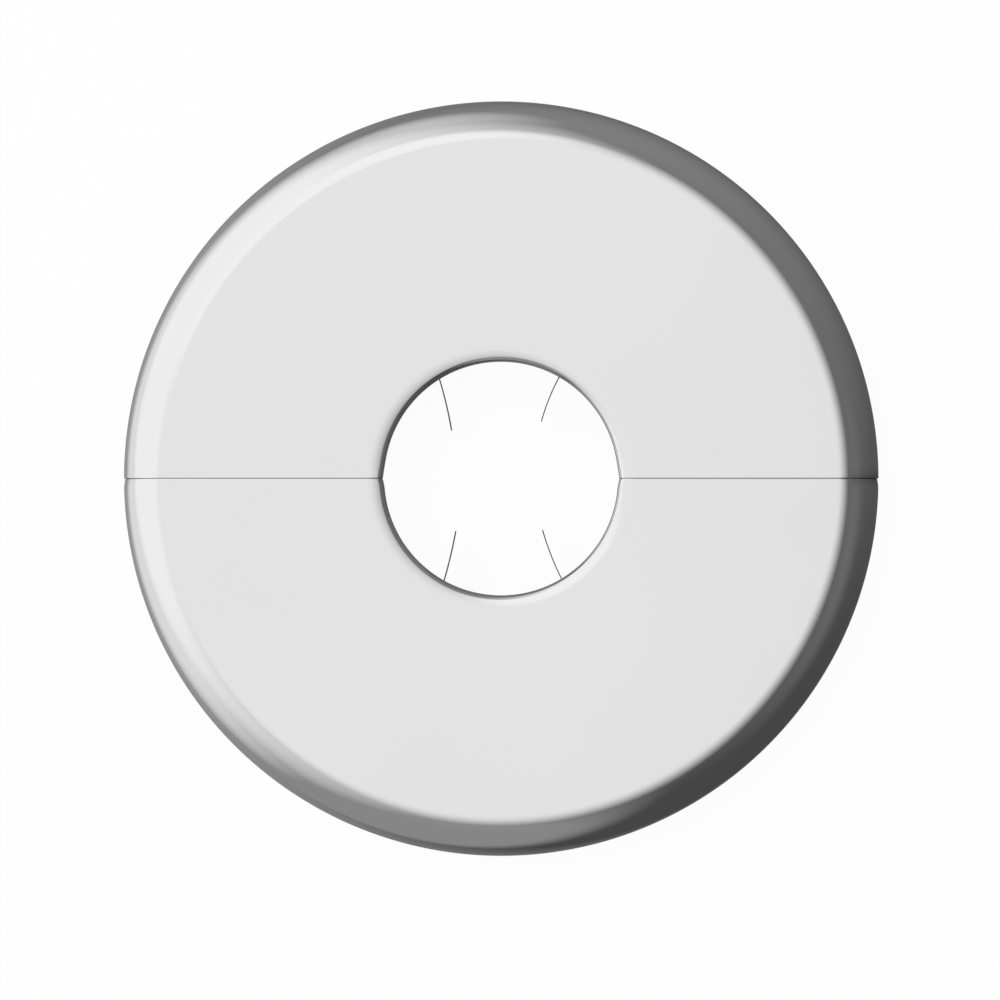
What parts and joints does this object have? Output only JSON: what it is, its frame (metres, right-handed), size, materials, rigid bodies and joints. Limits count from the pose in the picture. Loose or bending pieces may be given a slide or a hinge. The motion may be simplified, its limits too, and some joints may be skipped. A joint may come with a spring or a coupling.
{
  "type": "pipe rosette",
  "caption": "Round split pipe rosette of chrome-plated pressed sheet: halves push together round a pipe on hidden tongues, and spring clips behind the lip grip it.",
  "frame": {"origin": "centre of the rim's back plane, on the pipe's axis", "axes": "+Z along the pipe's axis, out of the face; +X along the seam, to the right in the picture; +Y towards the upper half"},
  "size_m": [0.07, 0.07, 0.0085],
  "materials": {
    "chrome_sheet": "polished bright chrome plating",
    "spring_steel": "dark rolled spring steel",
    "plated_steel": "dull nickel flash over steel"
  },
  "bodies": {
    "upper_half": {"upper_shell": "chrome_sheet", "upper_spring_clip": "spring_steel", "upper_tongue": "plated_steel", "upper_keeper": "plated_steel"},
    "lower_half": {"lower_shell": "chrome_sheet", "lower_spring_clip": "spring_steel", "lower_tongue": "plated_steel", "lower_keeper": "plated_steel"}
  },
  "joints": [
    {"name": "pull_apart", "type": "slide", "parent": "upper_half", "child": "lower_half", "axis": [0, -1, 0], "range_m": [0, 0.032]}
  ]
}
